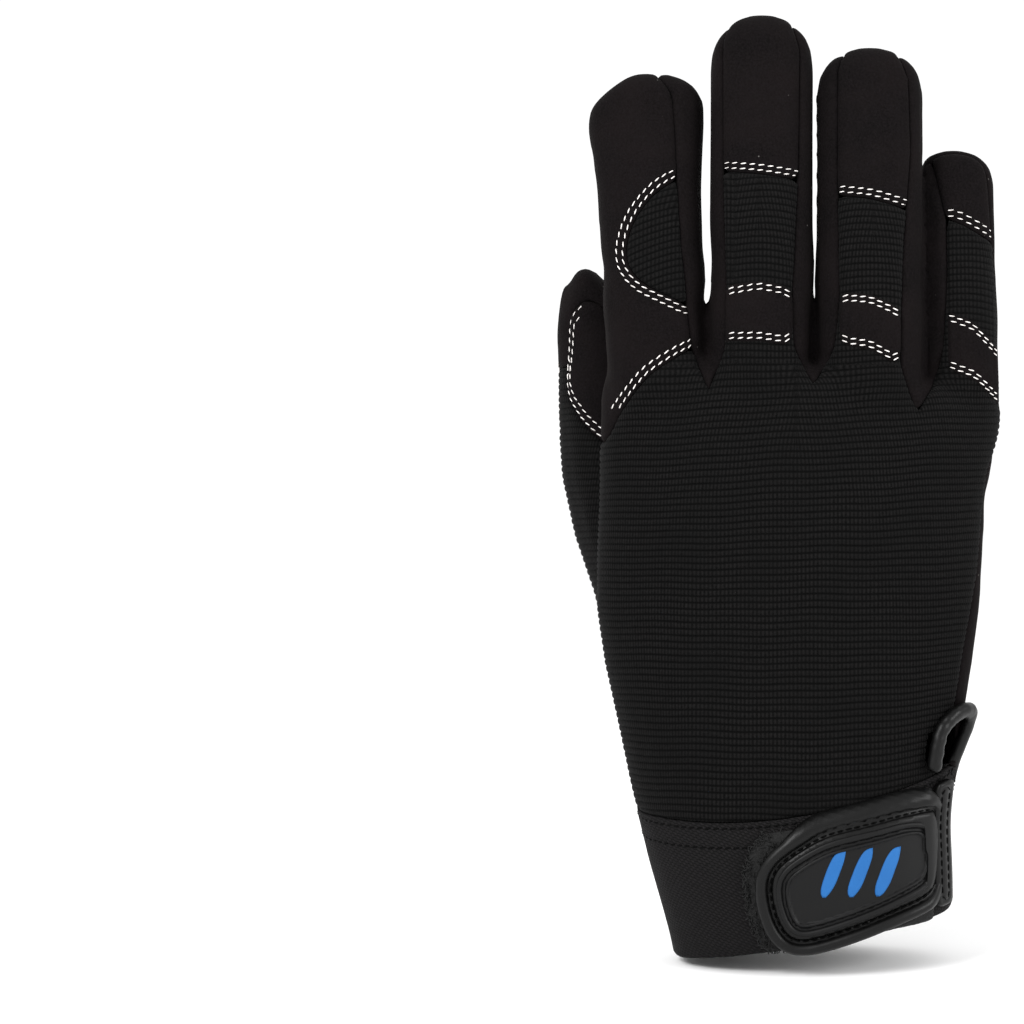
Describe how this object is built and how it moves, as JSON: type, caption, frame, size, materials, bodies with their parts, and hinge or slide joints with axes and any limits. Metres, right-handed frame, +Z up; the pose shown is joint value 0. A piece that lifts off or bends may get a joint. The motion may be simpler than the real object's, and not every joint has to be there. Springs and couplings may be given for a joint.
{
  "type": "mechanic glove",
  "caption": "Right-hand mechanic glove, worn upright: ribbed knit back, suede palm with stitched pads, elastic cuff with a hook-and-loop pull tab.",
  "frame": {"origin": "centre of the cuff's mouth, where the wrist goes in", "axes": "+Z up along the fingers, -Y faces the back of the hand, -X the thumb's side"},
  "size_m": [0.119, 0.0723, 0.2434],
  "materials": {
    "rib_knit": "ribbed stretch knit",
    "suede": "synthetic suede",
    "elastic": "woven elastic",
    "loop_fabric": "brushed loop pile",
    "moulded_tab": "satin moulded polyurethane",
    "badge_rubber": "matt moulded rubber",
    "thread": "white polyester thread"
  },
  "bodies": {
    "root": {"back_panel": "rib_knit", "index_knit_window": "rib_knit", "palm_panel": "suede", "index_middle_fourchette": "suede", "middle_ring_fourchette": "suede", "ring_little_fourchette": "suede", "middle_fingertip": "suede", "ring_fingertip": "suede", "little_fingertip": "suede", "thumb_web_patch": "suede", "thumb_cap": "suede", "thumb_front": "suede", "middle_knuckle_strip": "suede", "ring_knuckle_strip": "suede", "little_knuckle_strip": "suede", "knuckle_pad": "suede", "heel_pad": "suede", "thumb_base_pad": "suede", "cuff_band": "elastic", "loop_pad": "loop_fabric", "closure_tab": "moulded_tab", "tab_anchor": "moulded_tab", "vent_binding": "moulded_tab", "tab_badge": "badge_rubber"}
  },
  "joints": []
}
